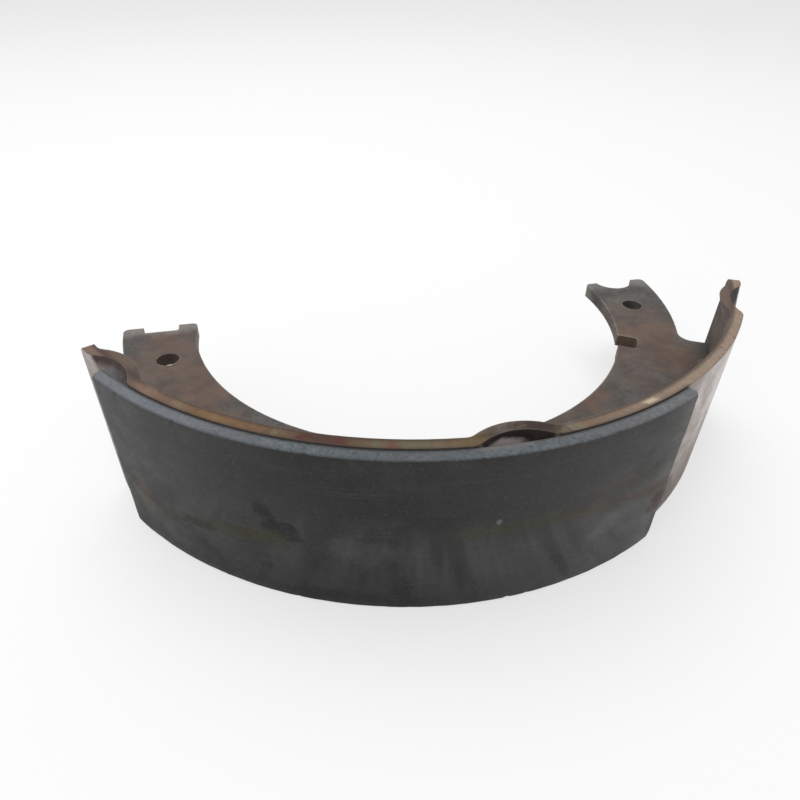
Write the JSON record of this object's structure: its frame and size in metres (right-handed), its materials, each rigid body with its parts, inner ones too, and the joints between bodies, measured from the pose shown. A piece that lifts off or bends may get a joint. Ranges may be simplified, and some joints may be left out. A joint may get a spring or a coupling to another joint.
{
  "type": "brake shoe",
  "caption": "Drum brake shoe: curved steel table with pressed edge nibs, a crescent web with end seats and holes, and a worn bonded lining set nearer one end.",
  "frame": {"origin": "middle of the shoe's outline on the plane it stands on, which is the rim edge that rests on the floor; the drum axis is vertical and stands 64.5 mm behind the origin in +Y", "axes": "+Z along the drum axis, across the shoe's width; -Y from the drum axis towards the crown of the lining; +X towards the end of the table that the lining leaves bare"},
  "size_m": [0.2196, 0.125, 0.057],
  "materials": {
    "table_steel": "bare steel, dull, with thin tan rust along the edges",
    "web_steel": "bare steel, dark with brake dust and light rust",
    "friction_lining": "worn charcoal friction material, paler towards its ends and edges"
  },
  "bodies": {
    "root": {"shoe_table": "table_steel", "shoe_web": "web_steel", "friction_lining": "friction_lining"}
  },
  "joints": []
}
